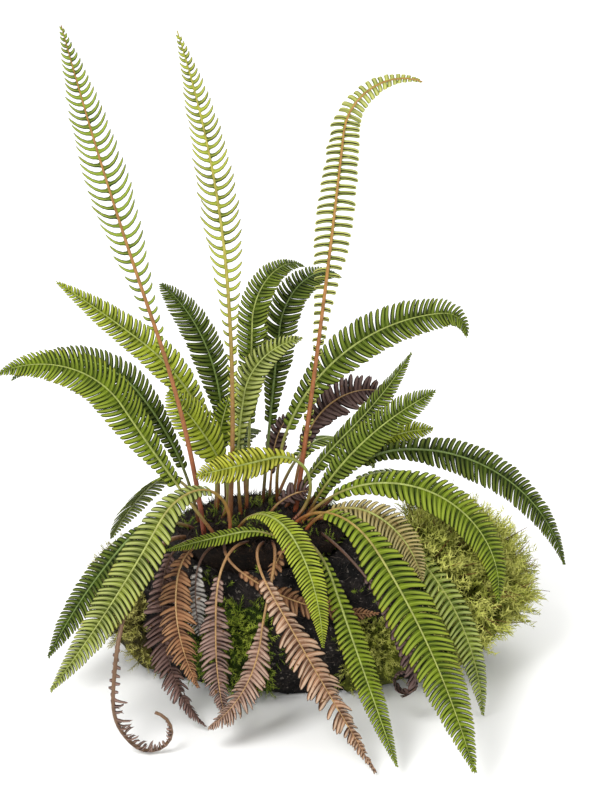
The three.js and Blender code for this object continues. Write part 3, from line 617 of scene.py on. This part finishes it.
sterileFronds = {
    "frond_left_long": dict(
        foot=(-42, -32), heading=(183, 180), slope=(56, 60, -30), bend=0.55, length=284, width=44,
        roll=(-50, -55), bare=0.22, leaf="midGreen", spacing=5.6),
    "frond_left_dark": dict(
        foot=(-59, 1), heading=(170, 170), slope=(82, 52, -50), length=274, width=34, roll=(-45, -50),
        leaf="deepGreen", rib="darkRib", spacing=5.4),
    "frond_left_upper": dict(
        foot=(-42, 20), heading=(162, 165), slope=(98, 34, 30), bend=0.66, length=280, width=33,
        roll=(-60, -60), bare=0.25, leaf="limeGreen", spacing=5.6),
    "frond_back_left": dict(
        foot=(-34, 42), heading=(112, 145), slope=(86, 84, 25), bend=0.38, length=224, width=34, taper=3.6,
        roll=(-20, -20), bare=0.3, leaf="deepGreen", rib="darkRib", spacing=5),
    "frond_inner_left": dict(
        foot=(-36, 0), heading=(188, 180), slope=(110, 66, 48), bend=0.4, length=142, width=40, taper=2.6,
        roll=(-60, -60), bare=0.3, leaf="limeGreen", leaflet="broad", spacing=5.6),
    "frond_inner_back": dict(
        foot=(-43, 27), heading=(60, 60), slope=(88, 84, 45), length=108, width=26, roll=(30, 30), bare=0.4,
        leaf="midGreen", spacing=5),
    "frond_back_middle": dict(
        foot=(-15, 16), heading=(66, 45), slope=(84, 88, -40), bend=0.65, length=278, width=30, taper=2.6,
        roll=(25, 30), bare=0.3, leaf="leafGreen", spacing=5.2),
    "frond_back_right": dict(
        foot=(0, 28), heading=(64, 40), slope=(80, 80, -45), bend=0.62, length=270, width=34, taper=2.6,
        roll=(20, 25), bare=0.28, leaf="deepGreen", rib="darkRib", spacing=5.2),
    "frond_inner_right": dict(
        foot=(-20, 4), heading=(30, 15), slope=(96, 80, 0), bend=0.6, length=200, width=30, roll=(50, 50),
        bare=0.35, leaf="paleGreen", leaflet="broad", spacing=5.8),
    "frond_right_upper": dict(
        foot=(14, 26), heading=(20, 15), slope=(97, -2, -100), bend=0.86, length=306, width=40, taper=2.6,
        roll=(60, 60), bare=0.25, leaf="leafGreen", spacing=6),
    "frond_right_folded": dict(
        foot=(22, 20), heading=(14, 22), slope=(56, 42, 56), length=184, width=34, roll=(10, 10), bare=0.12,
        leaf="leafGreen", leaflet="broad", spacing=4.8),
    "frond_right_middle": dict(
        foot=(41, 6), heading=(5, 5), slope=(64, 46, 28), length=170, width=32, taper=3.2, roll=(60, 60),
        bare=0.1, leaf="leafGreen", leaflet="broad", spacing=4.8),
    "frond_right_short": dict(
        foot=(42, 32), heading=(20, 15), slope=(52, 30, -8), length=142, width=28, taper=2.8, roll=(50, 50),
        leaf="limeGreen", leaflet="broad", spacing=4.6),
    "frond_right_far": dict(
        foot=(50, 22), heading=(20, -5), slope=(66, -2, -77), bend=0.32, length=318, width=38,
        roll=(45, 45), leaf="deepGreen", rib="darkRib", spacing=5.8),
    "frond_right_arched": dict(
        foot=(36, -10), heading=(-5, -25), slope=(56, -17, -98), length=266, width=38, taper=2.4,
        roll=(40, 40), bare=0.15, leaf="midGreen", leaflet="broad", spacing=6.4),
    "frond_right_olive": dict(
        foot=(40, -22), heading=(-8, -46), slope=(60, -18, -72), length=152, width=33, roll=(40, 40),
        leaf="oliveTan", rib="redRib", leaflet="blunt", spacing=5),
    "frond_front_right": dict(
        foot=(28, -18), heading=(-42, -66), slope=(52, -36, -50), bend=0.35, length=340, width=50,
        roll=(20, 20), bare=0.15, leaf="midGreen", rib="redRib", spacing=6.8),
    "frond_front_blue": dict(
        foot=(45, -3), heading=(-18, -52), slope=(24, -32, -84), bend=0.35, length=274, width=32,
        roll=(20, 20), bare=0.25, leaf="blueGreen", rib="redRib", leaflet="blunt", spacing=6.4),
    "frond_front_low": dict(
        foot=(26, -36), heading=(-56, -66), slope=(28, -52, -40), bend=0.3, length=255, width=28,
        roll=(10, 10), leaf="midGreen", spacing=5.2),
    "frond_front_middle": dict(
        foot=(-22, -26), heading=(-46, -66), slope=(62, -36, -86), length=198, width=30, roll=(15, 15),
        bare=0.12, leaf="limeGreen", leaflet="broad", spacing=4.2),
    "frond_front_left": dict(
        foot=(-30, -36), heading=(-136, -134), slope=(104, -48, -34), bend=0.42, length=310, width=40,
        roll=(-25, -25), leaf="paleGreen", rib="redRib", leaflet="broad", spacing=6.2),
    "frond_front_left_dark": dict(
        foot=(-65, -9), heading=(-163, -147), slope=(36, -44, -58), bend=0.35, length=196, width=32,
        roll=(-30, -30), leaf="deepGreen", rib="darkRib", spacing=5.4),
    "frond_front_small": dict(
        foot=(20, -45), heading=(-170, -170), slope=(42, -8, -13), bend=0.4, length=114, width=19,
        roll=(-20, -20), bare=0.08, leaf="midGreen", leaflet="broad", spacing=3.8),
    "frond_across_centre": dict(
        foot=(30, -4), heading=(206, 198), slope=(145, -4, -5), bend=0.56, length=166, width=30, taper=2.6,
        roll=(-60, -60), bare=0.42, leaf="yellowGreen", leaflet="broad", spacing=4.8),
    "frond_rear_left": dict(
        foot=(-58, 38), heading=(125, 132), slope=(38, -42, -60), bend=0.4, length=195, width=44,
        roll=(0, 0), leaf="midGreen"),
    "frond_rear_centre": dict(
        foot=(-16, 52), heading=(95, 90), slope=(45, -12, -55), bend=0.4, length=225, width=44, roll=(0, 0),
        leaf="deepGreen"),
    "frond_rear_right": dict(
        foot=(14, 50), heading=(65, 60), slope=(40, -15, -55), bend=0.4, length=235, width=44, roll=(0, 0),
        leaf="midGreen"),
    "frond_rear_far_right": dict(
        foot=(56, 34), heading=(38, 30), slope=(35, -18, -55), bend=0.4, length=210, width=42, roll=(0, 0),
        leaf="midGreen"),
}

deadFronds = {
    "dead_frond_purple": dict(
        foot=(-65, -30), heading=(-133, -16), slope=(12, -80, -42), bend=0.42, length=200, width=38,
        roll=(-10, -10), bare=0.15, leaf="witheredPlum", rib="umberRib", spacing=4.8),
    "dead_frond_rust": dict(
        foot=(-50, -41), heading=(-136, -40), slope=(18, -48, -54), bend=0.38, length=158, width=36,
        roll=(-10, 0), bare=0.15, leaf="witheredRust", curl=(0.3, 0.9), spacing=4.4),
    "dead_frond_grey": dict(
        foot=(-15, -46), heading=(-126, -64), slope=(18, -78, -52), bend=0.45, length=182, width=32,
        roll=(-10, 0), leaf="witheredGrey", spacing=4.2),
    "dead_frond_pink": dict(
        foot=(10, -48), heading=(-81, -160), slope=(13, -78, -26), length=206, width=38, bare=0.46,
        leaf="witheredPink", curl=(0.3, 1.0), spacing=4.2),
    "dead_frond_tan": dict(
        foot=(0, -48), heading=(-107, -44, -30), slope=(16, -47, -54), bend=0.4, length=266, width=42,
        taper=1.3, roll=(0, 10), bare=0.25, leaf="witheredTan", curl=(0.3, 0.9), spacing=5.6),
    "dead_frond_stub": dict(
        foot=(31, -44), heading=(-125, -115), slope=(30, -30, -40), length=52, width=16, bare=0.35,
        leaf="witheredRust"),
    "dead_frond_sideways": dict(
        foot=(-34, -50), heading=(-90, 2, 2), slope=(-12, -36, 2), bend=0.3, length=168, width=28,
        roll=(20, 45), bare=0.2, leaf="witheredRust", spacing=5.4),
    "dead_frond_curled": dict(
        foot=(-72, -22), heading=(-118, -104, -176, -186), slope=(26, -72, -132, -350), bend=0.56,
        length=340, width=14, bare=0.4, leaf="witheredGrey", rib="barkRib", habit="bareStalk"),
    "dead_frond_coiled": dict(
        foot=(54, -24), heading=(-61, -15), slope=(4, -84, -400), bend=0.76, length=238, width=24,
        roll=(10, 10), leaf="witheredDark", rib="umberRib"),
    "dead_frond_back": dict(
        foot=(28, 42), heading=(38, 20), slope=(83, 70, -38), bend=0.35, length=168, width=37,
        roll=(50, 50), leaf="witheredDark", curl=(0.3, 0.8), twist=0.3, spacing=5.4),
    "dead_frond_silver": dict(
        foot=(-44, -46), heading=(-130, -60), slope=(0, -60, -70), length=92, width=26,
        leaf="witheredSilver", rib="umberRib", spacing=4.6),
    "dead_frond_between": dict(
        foot=(7, 2), heading=(0, 8), slope=(62, 2), length=44, width=26, roll=(80, 80), leaf="witheredDark",
        spacing=4.4),
    "dead_frond_edge": dict(
        foot=(6, 40), heading=(60, 50), slope=(82, 80, 25), length=84, width=24, roll=(30, 30),
        leaf="witheredDark", curl=(0.3, 0.8), twist=0.3),
}


def growFrond(node, frond, kind, seed):
    frond = {**usualFrond.get(kind, {}), **frond}
    habit = {key: frond.get(key, value) for key, value in habits[frond.get("habit", kind)].items()}
    draw = random.Random(seed)
    roots = leafletRoots(frond, habit, draw)
    if "ears" in frond:
        roots += earRoots(frond, draw)
    mesh = frondStrand(node + "_strand", frond, habit, roots, draw)
    piece = evaluated(node + "_fine", mesh, frondTree, {
        "Leaflet": leaflets[habit["leaflet"]], "Thickness": habit["thickness"] * mm,
        "Falcate": habit["falcate"], "Leaf": leafMaterial(frond["leaf"]), "Rib": ribMaterial(frond["rib"])})
    finishPiece(piece, node)


firstSeed = 100
count = 0
for kind, fronds in (("fertile", fertileFronds), ("sterile", sterileFronds), ("dead", deadFronds)):
    for node, frond in fronds.items():
        count += 1
        growFrond(node, frond, kind, firstSeed + count)
print("fronds grown:", count)


# Copies of the carried solids, welded and cut into even facets for relief
def evenCopy(node, size):
    mesh = frame["nodes"][node].data.copy()
    piece = bpy.data.objects.new(node + "_copy", mesh)
    scene.collection.objects.link(piece)
    weld = piece.modifiers.new("weld", "WELD")
    weld.merge_threshold = 0.01 * mm
    voxels = piece.modifiers.new("even", "REMESH")
    voxels.mode = "VOXEL"
    voxels.voxel_size = size
    result = bpy.data.meshes.new_from_object(piece.evaluated_get(bpy.context.evaluated_depsgraph_get()))
    bpy.data.objects.remove(piece)
    return result


# Sprig shapes: a moss shoot, a root scale, a root fibre
def spike(points, faces, marks, foot, tip, width, height):
    foot, tip = Vector(foot), Vector(tip)
    axis = (tip - foot).normalized()
    side = axis.cross(Vector((0, 0, 1)))
    side = side.normalized() if side.length > 1e-3 else Vector((1, 0, 0))
    under = axis.cross(side).normalized() * width * 0.5
    start = len(points)
    points += [foot + side * width, foot - side * width, foot + under, tip]
    marks += [(height, 0, 0)] * 3 + [(min(1, height + 0.25), 0, 0)]
    faces += [(start, start + 1, start + 2), (start, start + 3, start + 1), (start + 1, start + 3, start + 2),
              (start + 2, start + 3, start)]


def templateFrom(name, points, faces, marks):
    mesh = bpy.data.meshes.new(name)
    mesh.from_pydata([tuple(p) for p in points], [], faces)
    setAttribute(mesh, "leaf", marks)
    return bpy.data.objects.new(name, mesh)


def mossShoot(name, shoot):
    draw = random.Random(shoot["seed"])
    points, faces, marks = [], [], []
    bend = shoot["bend"]
    spike(points, faces, marks, (0, 0, -0.1), (bend, 0, 1), shoot["stem"], 0)
    for k in range(shoot["leaves"]):
        height = mix(0.12, 0.95, k / (shoot["leaves"] - 1))
        turn = k * shoot["turn"] + draw.uniform(-0.3, 0.3)
        reach = shoot["leafLength"] * mix(1, 0.55, height)
        foot = Vector((bend * height * height, 0, height))
        tip = foot + Vector((math.cos(turn), math.sin(turn), shoot["lift"])) * reach
        spike(points, faces, marks, foot, tip, shoot["leafWidth"] * reach, height)
    return templateFrom(name, points, faces, marks)


def rootFibre(name, fibre):
    draw = random.Random(fibre["seed"])
    points, faces, marks = [], [], []
    sides, stations = 3, 7
    spot, arrow = Vector((0, 0, -0.04)), Vector((0.35, 0, 0.5)).normalized()
    for k in range(stations):
        girth = mix(fibre["girth"], 0.25 * fibre["girth"], k / (stations - 1))
        level = arrow.cross(Vector((0, 0, 1))).normalized()
        lift = level.cross(arrow).normalized()
        for j in range(sides):
            turn = 2 * math.pi * j / sides
            points.append(spot + (level * math.cos(turn) + lift * math.sin(turn)) * girth)
            marks.append((k / (stations - 1), 0, 0))
        wander = Vector((draw.uniform(-0.5, 0.5), draw.uniform(-0.6, 0.6), draw.uniform(-0.6, -0.1)))
        spot = spot + arrow / stations
        arrow = (arrow + wander * fibre["wander"]).normalized()
    for k in range(stations - 1):
        for j in range(sides):
            a, b = k * sides + j, k * sides + (j + 1) % sides
            faces.append((a, b, b + sides, a + sides))
    faces.append(tuple(reversed(range(sides))))
    faces.append(tuple(range((stations - 1) * sides, stations * sides)))
    return templateFrom(name, points, faces, marks)


def randomValue(tree, least, most, seed):
    feeds = {2: least, 3: most, "Seed": seed}
    return place(tree, "FunctionNodeRandomValue", feeds, data_type="FLOAT").outputs[1]


spinSeed, sizeSeed, toneSeed, otherSeed = 7, 11, 13, 50


# Sprigs of one kind spread over a surface, each with its own turn, size and tone
def scatter(tree, given, ground, kind, weight, seed):
    spread = place(tree, "GeometryNodeDistributePointsOnFaces", {
        "Mesh": ground, "Density": times(tree, given[kind + " density"], weight), "Seed": seed})
    jitter = output(tree, "FunctionNodeRandomValue", {
        0: (-1, -1, -1), 1: (1, 1, 1), "Seed": seed}, data_type="FLOAT_VECTOR")
    arrow = vector(tree, "ADD", spread.outputs["Normal"], scaled(tree, jitter, given["Mess"]))
    lift = output(tree, "ShaderNodeCombineXYZ", {2: given["Upward"]})
    arrow = vector(tree, "ADD", arrow, lift)
    stand = output(tree, "FunctionNodeAlignRotationToVector", {"Vector": arrow}, axis="Z")
    turn = randomValue(tree, 0.0, fullTurn, spinSeed)
    spin = output(tree, "FunctionNodeEulerToRotation", {
        0: output(tree, "ShaderNodeCombineXYZ", {2: turn})})
    stand = output(tree, "FunctionNodeRotateRotation", {0: stand, 1: spin}, rotation_space="LOCAL")
    size = randomValue(tree, given[kind + " shortest"], given[kind + " longest"], sizeSeed)
    tone = randomValue(tree, 0.0, 1.0, toneSeed)
    points = place(tree, "GeometryNodeStoreNamedAttribute", {
        0: spread.outputs["Points"], "Name": "tone", "Value": tone}, data_type="FLOAT", domain="POINT")
    pattern = place(tree, "GeometryNodeObjectInfo", {"Object": given[kind]}).outputs["Geometry"]
    sprigs = place(tree, "GeometryNodeInstanceOnPoints", {
        "Points": points.outputs[0], "Instance": pattern, "Rotation": stand, "Scale": size})
    sprigs = output(tree, "GeometryNodeRealizeInstances", {0: sprigs.outputs[0]})
    position = output(tree, "GeometryNodeInputPosition")
    sprigs = output(tree, "GeometryNodeSetPosition", {
        0: sprigs, "Position": aboveFloor(tree, position, sprigLift)})
    return output(tree, "GeometryNodeSetMaterial", {0: sprigs, "Material": given[kind + " paint"]})


# Ground tree: noise relief along the surface, then sprigs all over what grows and others in patches
crumbScale, crumbShare, patchBlend = 4.5, 0.35, 0.12


def makeGroundTree():
    sprigInputs = []
    for kind in ("Sprig", "Other"):
        sprigInputs += [(kind, "Object", None), (kind + " density", "Float", 0.0),
                        (kind + " shortest", "Float", 0.008), (kind + " longest", "Float", 0.014),
                        (kind + " paint", "Material", None)]
    tree, given = newTree("dressGround", [
        ("Relief", "Float", 0.003), ("Lump size", "Float", 60.0), ("Upward", "Float", 0.5),
        ("Mess", "Float", 0.4), ("Patch", "Float", 30.0), ("Patch edge", "Float", 0.5), ("Seed", "Int", 1),
        ("Ground", "Material", None)] + sprigInputs)
    position = output(tree, "GeometryNodeInputPosition")
    normal = output(tree, "GeometryNodeInputNormal")
    lumps = noise(tree, position, given["Lump size"], 4, 0.6)
    crumbs = noise(tree, position, times(tree, given["Lump size"], crumbScale), 3, 0.6)
    rise = calc(tree, "ADD", calc(tree, "SUBTRACT", lumps, 0.5), times(tree, crumbs, crumbShare))
    rise = times(tree, calc(tree, "SUBTRACT", rise, 0.2), given["Relief"])
    moved = vector(tree, "ADD", position, scaled(tree, normal, times(tree, rise, 2)))
    ground = output(tree, "GeometryNodeSetPosition", {
        0: given["Geometry"], "Position": aboveFloor(tree, moved, 0)})
    grows = named(tree, "grows")
    patch = ramp(tree, noise(tree, position, given["Patch"], 2), given["Patch edge"],
                 calc(tree, "ADD", given["Patch edge"], patchBlend))
    patch = times(tree, grows, patch)
    sprigs = scatter(tree, given, ground, "Sprig", grows, given["Seed"])
    others = scatter(tree, given, ground, "Other", patch, calc(tree, "ADD", given["Seed"], otherSeed))
    ground = output(tree, "GeometryNodeSetShadeSmooth", {0: ground})
    ground = output(tree, "GeometryNodeSetMaterial", {0: ground, "Material": given["Ground"]})
    both = place(tree, "GeometryNodeJoinGeometry")
    for layer in (others, sprigs, ground):
        tree.links.new(layer, both.inputs[0])
    place(tree, "NodeGroupOutput", {0: both.outputs[0]})
    return tree


groundTree = makeGroundTree()


def crumbMaterial(name, look):
    material, tree, shader = newMaterial(name)
    where = objectSpot(tree)
    cloud = noise(tree, where, look["cloud"], 5)
    grain = noise(tree, where, look["grain"], 4, 0.7)
    fleck = ramp(tree, noise(tree, where, look["grain"] * 0.6, 2), 0.62, 0.68)
    colour = blend(tree, ramp(tree, cloud, 0.35, 0.68), paint(*look["dark"]), paint(*look["light"]))
    colour = blend(tree, ramp(tree, grain, 0.35, 0.65, 0, 0.6), colour, paint(*look["dark"]))
    colour = blend(tree, times(tree, fleck, look["flecks"]), colour, paint(*look["fleck"]))
    joinShader(tree, shader, colour, ramp(tree, grain, 0.3, 0.7, 0.75, 0.98), grain, "crumb")
    return material


def growthMaterial(name, look):
    material, tree, shader = newMaterial(name)
    where = objectSpot(tree)
    height = parts(tree, attributeOf(tree, "leaf")["Vector"])[0]
    tone = attributeOf(tree, "tone")["Fac"]
    patch = noise(tree, where, look["patch"], 3)
    colour = blend(tree, ramp(tree, height, 0.05, 0.9), paint(*look["base"]), paint(*look["tip"]))
    colour = blend(tree, ramp(tree, tone, 0.45, 1, 0, 0.8), colour, paint(*look["other"]))
    colour = blend(tree, ramp(tree, patch, 0.42, 0.7, 0, 0.55), colour, paint(*look["base"]))
    grain = noise(tree, where, 1400, 2)
    joinShader(tree, shader, colour, ramp(tree, grain, 0.2, 0.8, 0.55, 0.85), grain, "growth")
    return material


# Sprigs grow on faces that look outward, lie over the lowest height and don't overhang much
outwardLeast, overhang = 0.004, -0.3


def growFaces(mesh, centre, lowest):
    spots = np.zeros(len(mesh.polygons) * 3, np.float32)
    arrows = np.zeros(len(mesh.polygons) * 3, np.float32)
    mesh.polygons.foreach_get("center", spots)
    mesh.polygons.foreach_get("normal", arrows)
    spots, arrows = spots.reshape(-1, 3), arrows.reshape(-1, 3)
    outward = ((spots - np.array(centre)) * arrows).sum(1) > outwardLeast
    grows = outward & (spots[:, 2] > lowest) & (arrows[:, 2] > overhang)
    setAttribute(mesh, "grows", grows.astype(np.float32), "FACE")


def sprigValues(kind, sprig, density, shortest, longest, material):
    return {kind: sprig, kind + " density": float(density), kind + " shortest": shortest,
            kind + " longest": longest, kind + " paint": material}


def dressGround(node, facet, middle, lowest, values):
    mesh = evenCopy(node, facet)
    growFaces(mesh, middle, lowest)
    piece = evaluated(node + "_fine", mesh, groundTree, values)
    finishPiece(piece, node)
    print(node, "faces:", len(piece.data.polygons))


clodMiddle, crownMiddle = (0.034, 0.022, 0.04), (0, 0.004, 0.1)
shoot = mossShoot("shoot_feathery", dict(
    seed=3, bend=0.36, leaves=16, leafLength=0.26, leafWidth=0.15, lift=1.0, stem=0.035, turn=2.4))
stalk = rootFibre("stalk", dict(seed=9, girth=0.018, wander=0.07))
stalkPaint = growthMaterial("moss_stalks", dict(
    base=(70, 46, 26), tip=(132, 82, 50), other=(96, 70, 36), patch=40))
mossFinishes = {
    "moss_yellow": dict(base=(118, 126, 38), tip=(238, 238, 126), other=(206, 214, 92), patch=26),
    "moss_fresh": dict(base=(66, 88, 20), tip=(184, 200, 74), other=(128, 156, 44), patch=30),
    "moss_dry": dict(base=(100, 92, 38), tip=(206, 200, 112), other=(156, 154, 66), patch=28),
}
mossCushions = {
    "moss_right": dict(density=56000, tall=(0.016, 0.032), upward=0.6, seed=5, stalks=5000),
    "moss_front_right": dict(density=60000, tall=(0.01, 0.018), upward=0.3, seed=6),
    "moss_front": dict(density=60000, tall=(0.009, 0.017), upward=0.1, seed=7),
    "moss_left": dict(density=56000, tall=(0.01, 0.019), upward=0.3, seed=8),
    "moss_back": dict(density=56000, tall=(0.01, 0.019), upward=0.4, seed=9),
}
mossMaterials = {}
for name, look in mossFinishes.items():
    pad = dict(dark=tuple(v // 2 for v in look["base"]), light=look["base"], cloud=60, grain=500, flecks=0.5,
               fleck=look["other"])
    mossMaterials[name] = (crumbMaterial(name + "_pad", pad), growthMaterial(name + "_shoots", look))
for node, cushion in mossCushions.items():
    pad, shoots = mossMaterials[slotOf[node]]
    dressGround(node, 0.004, clodMiddle, 0.006, {
        "Relief": 0.003, "Lump size": 70.0, "Upward": cushion["upward"], "Mess": 0.55, "Patch edge": 0.3,
        "Seed": cushion["seed"], "Ground": pad,
        **sprigValues("Sprig", shoot, cushion["density"], *cushion["tall"], shoots),
        **sprigValues("Other", stalk, cushion.get("stalks", 0), 0.034, 0.05, stalkPaint)})

# Soil clod: crumbly humus matted with fine roots
soilLook = dict(dark=(16, 14, 14), light=(60, 54, 52), cloud=60, grain=420, flecks=0.7, fleck=(130, 122, 114))
fibreLook = dict(base=(30, 26, 24), tip=(124, 110, 98), other=(62, 54, 50), patch=40)
fibre = rootFibre("fibre", dict(seed=4, girth=0.022, wander=0.5))
dressGround("soil_clod", 0.0042, clodMiddle, 0.008, {
    "Relief": 0.008, "Lump size": 48.0, "Upward": -0.4, "Mess": 1.3, "Patch": 34.0, "Seed": 21,
    "Ground": crumbMaterial("soil_humus", soilLook),
    **sprigValues("Sprig", fibre, 18000, 0.008, 0.018, growthMaterial("soil_roots", fibreLook)),
    **sprigValues("Other", shoot, 26000, 0.006, 0.014, mossMaterials["moss_fresh"][1])})

# Rhizome crown: dark stock under lance-shaped scales
crownLook = dict(dark=(20, 16, 14), light=(56, 42, 32), cloud=60, grain=500, flecks=0.4, fleck=(104, 78, 54))
scaleLook = dict(base=(30, 22, 18), tip=(112, 76, 48), other=(64, 44, 32), patch=50)
scalePoints, scaleFaces, scaleMarks = [], [], []
spike(scalePoints, scaleFaces, scaleMarks, (0, 0, -0.1), (0.35, 0, 1), 0.1, 0)
rootScale = templateFrom("root_scale", scalePoints, scaleFaces, scaleMarks)
dressGround("rhizome_crown", 0.0035, crownMiddle, 0.12, {
    "Relief": 0.004, "Lump size": 70.0, "Upward": 0.1, "Mess": 1.2, "Patch": 60.0, "Seed": 31,
    "Ground": crumbMaterial("crown_stock", crownLook),
    **sprigValues("Sprig", rootScale, 110000, 0.004, 0.009, growthMaterial("crown_scales", scaleLook)),
    **sprigValues("Other", shoot, 60000, 0.005, 0.01, mossMaterials["moss_fresh"][1])})

# Pale floor, soft studio light, camera at the picture's angle
studio = dict(floorReach=8, floorColour=(0.92, 0.92, 0.91, 1), floorRough=0.9, sky=0.75, aim=(0.03, 0, 0.2))
floorMesh = bpy.data.meshes.new("floor")
reach = studio["floorReach"]
corners = [(-reach, -reach, 0), (reach, -reach, 0), (reach, reach, 0), (-reach, reach, 0)]
floorMesh.from_pydata(corners, [], [(0, 1, 2, 3)])
floor = bpy.data.objects.new("floor", floorMesh)
scene.collection.objects.link(floor)
floorPaint, _, floorShader = newMaterial("floor_paint")
floorShader.inputs["Base Color"].default_value = studio["floorColour"]
floorShader.inputs["Roughness"].default_value = studio["floorRough"]
floorMesh.materials.append(floorPaint)

lights = {
    "key": dict(place=(-1.2, -1.5, 2.3), size=1.2, power=70),
    "fill": dict(place=(1.8, -1.6, 1.2), size=1.8, power=18),
    "back": dict(place=(0.4, 1.8, 1.8), size=1.5, power=24),
}
for name, light in lights.items():
    lamp = bpy.data.lights.new(name, "AREA")
    lamp.size = light["size"]
    lamp.energy = light["power"]
    holder = bpy.data.objects.new(name, lamp)
    holder.location = light["place"]
    holder.rotation_euler = (Vector(studio["aim"]) - holder.location).to_track_quat("-Z", "Y").to_euler()
    scene.collection.objects.link(holder)
world = bpy.data.worlds.new("studio")
world.use_nodes = True
world.node_tree.nodes["Background"].inputs["Color"].default_value = (1, 1, 1, 1)
world.node_tree.nodes["Background"].inputs["Strength"].default_value = studio["sky"]
scene.world = world
scene.view_settings.view_transform = "Standard"

view = dict(target=(0.0342, 0, 0.2731), distance=3.2, elevation=25, lens=160, sensor=36)
lens = bpy.data.cameras.new("picture_view")
lens.lens, lens.sensor_width = view["lens"], view["sensor"]
camera = bpy.data.objects.new("picture_view", lens)
tilt = math.radians(view["elevation"])
away = Vector((0, -math.cos(tilt), math.sin(tilt)))
camera.location = Vector(view["target"]) + away * view["distance"]
camera.rotation_euler = (-away).to_track_quat("-Z", "Y").to_euler()
scene.collection.objects.link(camera)
scene.camera = camera
